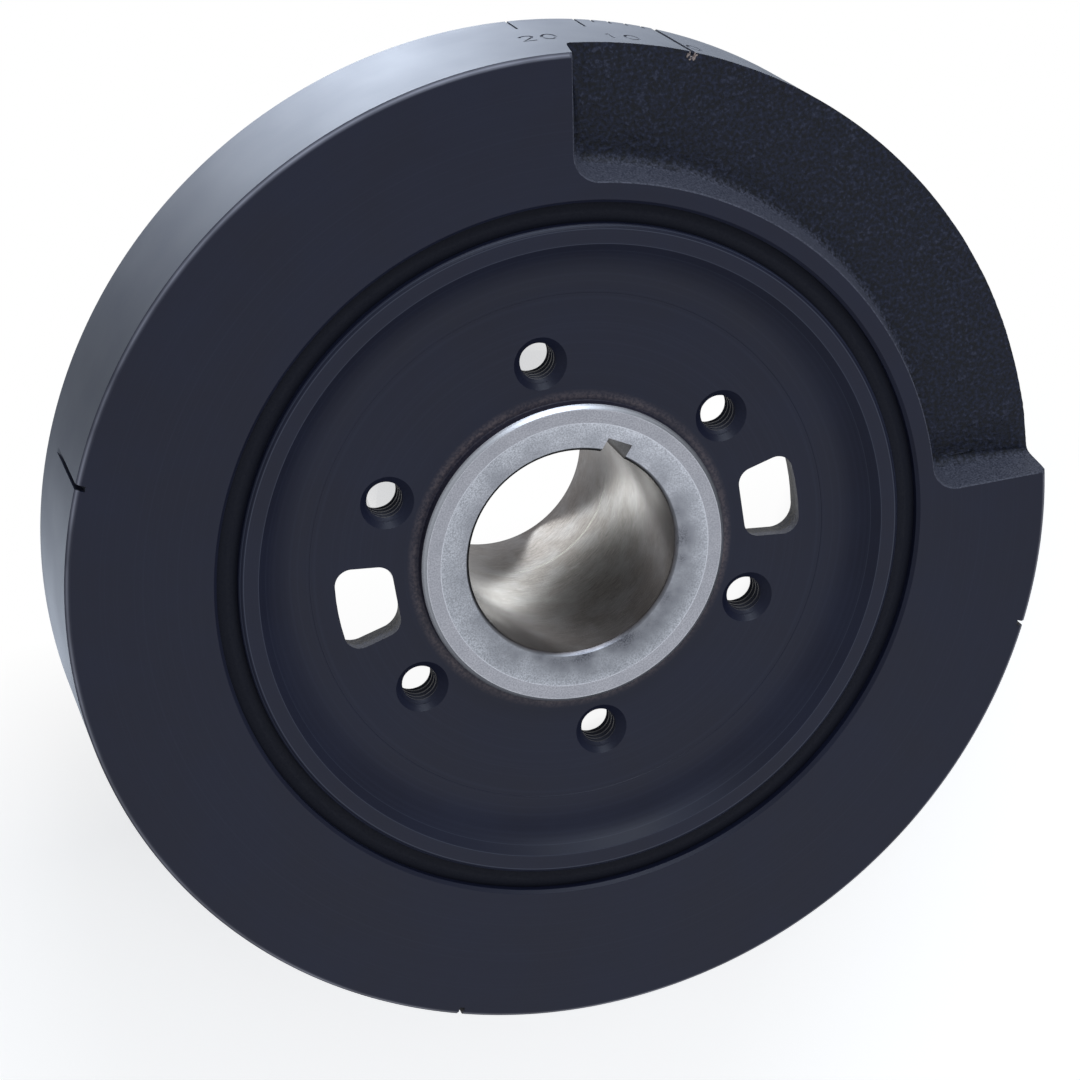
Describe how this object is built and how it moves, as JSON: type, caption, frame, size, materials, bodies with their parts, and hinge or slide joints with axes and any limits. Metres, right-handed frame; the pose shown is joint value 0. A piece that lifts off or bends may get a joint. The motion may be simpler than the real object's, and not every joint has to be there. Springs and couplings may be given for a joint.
{
  "type": "harmonic balancer",
  "caption": "Round crankshaft damper: keyed cast hub with pulley holes and web slots, a bonded rubber ring and a heavy rim ring with a cast imbalance pocket and timing marks.",
  "frame": {"origin": "centre of the seal sleeve's rear end, on the bore's axis", "axes": "+Z along the bore towards the pulley side, +X through the middle of one web slot, +Y through one pulley hole"},
  "size_m": [0.1842, 0.1842, 0.0625],
  "materials": {
    "hub": "satin blue-black paint, bare turned sleeve and bore",
    "rubber": "matt painted rubber",
    "ring": "satin blue-black paint over turned and sand-cast iron"
  },
  "bodies": {
    "root": {"hub": "hub", "rubber_ring": "rubber", "inertia_ring": "ring"}
  },
  "joints": []
}
